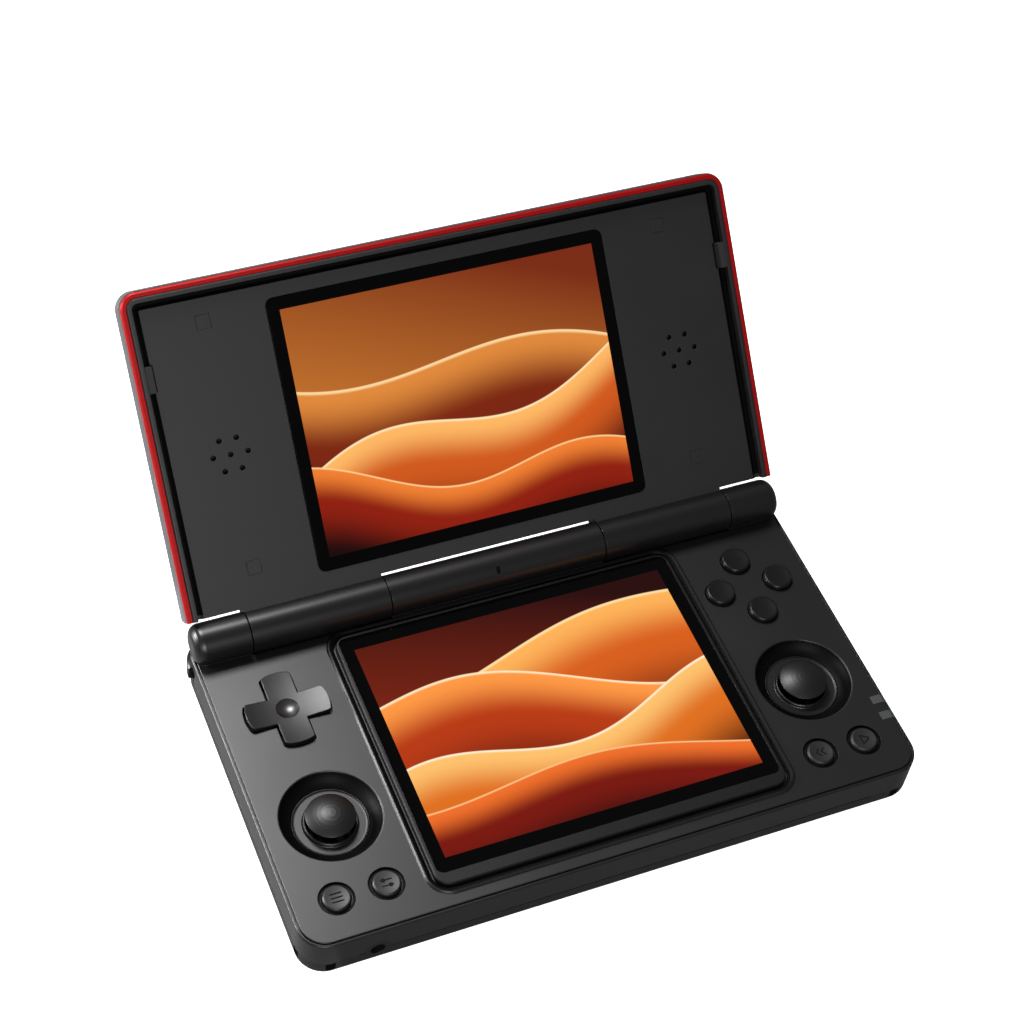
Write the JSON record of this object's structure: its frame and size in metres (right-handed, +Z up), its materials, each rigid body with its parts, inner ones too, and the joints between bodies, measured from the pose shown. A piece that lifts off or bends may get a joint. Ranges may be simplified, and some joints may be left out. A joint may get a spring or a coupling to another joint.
{
  "type": "clamshell handheld game console",
  "caption": "Clamshell handheld game console: a base with screen, cross pad, sticks and buttons, and a hinged lid with a second screen.",
  "frame": {"origin": "middle of the base's flat underside", "axes": "+X to the right, +Y towards the hinge, +Z up, with the base lying flat and the lid open"},
  "size_m": [0.1586, 0.146, 0.0803],
  "materials": {
    "shell_black": "satin",
    "under_black": "satin",
    "cover_grey": "satin",
    "trim_red": "gloss",
    "panel_black": "satin",
    "glass_black": "gloss",
    "picture": "gloss",
    "control_black": "satin",
    "rubber_black": "matte",
    "rubber_grey": "matte",
    "steel": "satin",
    "board_green": "satin",
    "cell_wrap": "satin",
    "light_pipe": "gloss",
    "switch_metal": "satin"
  },
  "bodies": {
    "base": {"base_bottom_shell": "under_black", "base_top_shell": "shell_black", "lower_screen_frame": "shell_black", "lower_glass": "glass_black", "lower_display": "picture", "main_board": "board_green", "battery": "cell_wrap", "stick_housings": "switch_metal", "stick_dust_rings": "shell_black", "control_membranes": "rubber_grey", "side_switches": "switch_metal", "headphone_socket": "control_black", "charging_socket": "steel", "card_reader": "switch_metal", "indicator_lights": "light_pipe", "rubber_feet": "rubber_black", "base_screws": "steel", "hinge_pin_left": "steel", "hinge_pin_right": "steel"},
    "lid": {"lid_back_cover": "cover_grey", "lid_trim": "trim_red", "lid_inner_panel": "panel_black", "upper_glass": "glass_black", "upper_display": "picture", "speakers": "switch_metal", "lid_bumpers": "rubber_black", "lid_pads": "rubber_black", "lid_screws": "steel"},
    "left_gimbal": {"left_gimbal": "light_pipe"},
    "left_stick": {"left_stick": "control_black"},
    "right_gimbal": {"right_gimbal": "light_pipe"},
    "right_stick": {"right_stick": "control_black"},
    "pad_pivot": {"pad_pivot": "steel"},
    "cross_pad": {"cross_pad": "control_black"},
    "action_button_back": {"action_button_back": "control_black"},
    "action_button_right": {"action_button_right": "control_black"},
    "action_button_front": {"action_button_front": "control_black"},
    "action_button_left": {"action_button_left": "control_black"},
    "menu_button_left_outer": {"menu_button_left_outer": "control_black"},
    "menu_button_left_inner": {"menu_button_left_inner": "control_black"},
    "menu_button_right_inner": {"menu_button_right_inner": "control_black"},
    "menu_button_right_outer": {"menu_button_right_outer": "control_black"},
    "left_shoulder": {"left_shoulder": "control_black"},
    "left_trigger": {"left_trigger": "control_black"},
    "right_shoulder": {"right_shoulder": "control_black"},
    "right_trigger": {"right_trigger": "control_black"},
    "power_button": {"power_button": "control_black"},
    "volume_rocker": {"volume_rocker": "control_black"}
  },
  "joints": [
    {"name": "lid_hinge", "type": "hinge", "parent": "base", "child": "lid", "pos_m": [0, 0.0397, 0.016], "axis": [1, 0, 0], "range_deg": [-47, 133]},
    {"name": "left_stick_forward_back", "type": "hinge", "parent": "base", "child": "left_gimbal", "pos_m": [-0.0614, -0.01339, 0.0042], "axis": [1, 0, 0], "range_deg": [-10, 10], "stiffness_Nm_per_rad": 0.03},
    {"name": "left_stick_left_right", "type": "hinge", "parent": "left_gimbal", "child": "left_stick", "pos_m": [-0.0614, -0.01339, 0.0042], "axis": [0, 1, 0], "range_deg": [-10, 10], "stiffness_Nm_per_rad": 0.03},
    {"name": "right_stick_forward_back", "type": "hinge", "parent": "base", "child": "right_gimbal", "pos_m": [0.0614, -0.01339, 0.0042], "axis": [1, 0, 0], "range_deg": [-10, 10], "stiffness_Nm_per_rad": 0.03},
    {"name": "right_stick_left_right", "type": "hinge", "parent": "right_gimbal", "child": "right_stick", "pos_m": [0.0614, -0.01339, 0.0042], "axis": [0, 1, 0], "range_deg": [-10, 10], "stiffness_Nm_per_rad": 0.03},
    {"name": "cross_pad_forward_back", "type": "hinge", "parent": "base", "child": "pad_pivot", "pos_m": [-0.0614, 0.0173, 0.0104], "axis": [1, 0, 0], "range_deg": [-3, 3], "stiffness_Nm_per_rad": 0.08},
    {"name": "cross_pad_left_right", "type": "hinge", "parent": "pad_pivot", "child": "cross_pad", "pos_m": [-0.0614, 0.0173, 0.0104], "axis": [0, 1, 0], "range_deg": [-3, 3], "stiffness_Nm_per_rad": 0.08},
    {"name": "action_back_press", "type": "slide", "parent": "base", "child": "action_button_back", "axis": [0, 0, -1], "range_m": [0, 0.0009], "stiffness_N_per_m": 600},
    {"name": "action_right_press", "type": "slide", "parent": "base", "child": "action_button_right", "axis": [0, 0, -1], "range_m": [0, 0.0009], "stiffness_N_per_m": 600},
    {"name": "action_front_press", "type": "slide", "parent": "base", "child": "action_button_front", "axis": [0, 0, -1], "range_m": [0, 0.0009], "stiffness_N_per_m": 600},
    {"name": "action_left_press", "type": "slide", "parent": "base", "child": "action_button_left", "axis": [0, 0, -1], "range_m": [0, 0.0009], "stiffness_N_per_m": 600},
    {"name": "menu_left_outer_press", "type": "slide", "parent": "base", "child": "menu_button_left_outer", "axis": [0, 0, -1], "range_m": [0, 0.0005], "stiffness_N_per_m": 600},
    {"name": "menu_left_inner_press", "type": "slide", "parent": "base", "child": "menu_button_left_inner", "axis": [0, 0, -1], "range_m": [0, 0.0005], "stiffness_N_per_m": 600},
    {"name": "menu_right_inner_press", "type": "slide", "parent": "base", "child": "menu_button_right_inner", "axis": [0, 0, -1], "range_m": [0, 0.0005], "stiffness_N_per_m": 600},
    {"name": "menu_right_outer_press", "type": "slide", "parent": "base", "child": "menu_button_right_outer", "axis": [0, 0, -1], "range_m": [0, 0.0005], "stiffness_N_per_m": 600},
    {"name": "left_shoulder_press", "type": "hinge", "parent": "base", "child": "left_shoulder", "pos_m": [-0.0597, 0.0422, 0.008], "axis": [0, 0, 1], "range_deg": [0, 3], "stiffness_Nm_per_rad": 0.3},
    {"name": "right_shoulder_press", "type": "hinge", "parent": "base", "child": "right_shoulder", "pos_m": [0.0597, 0.0422, 0.008], "axis": [0, 0, -1], "range_deg": [0, 3], "stiffness_Nm_per_rad": 0.3},
    {"name": "left_trigger_press", "type": "slide", "parent": "base", "child": "left_trigger", "axis": [0, -1, 0], "range_m": [0, 0.0011], "stiffness_N_per_m": 600},
    {"name": "right_trigger_press", "type": "slide", "parent": "base", "child": "right_trigger", "axis": [0, -1, 0], "range_m": [0, 0.0011], "stiffness_N_per_m": 600},
    {"name": "power_press", "type": "slide", "parent": "base", "child": "power_button", "axis": [-1, 0, 0], "range_m": [0, 0.0005], "stiffness_N_per_m": 800},
    {"name": "volume_rock", "type": "hinge", "parent": "base", "child": "volume_rocker", "pos_m": [0.0752, 0.0055, 0.0083], "axis": [0, 0, 1], "range_deg": [-2, 2], "stiffness_Nm_per_rad": 0.05}
  ]
}
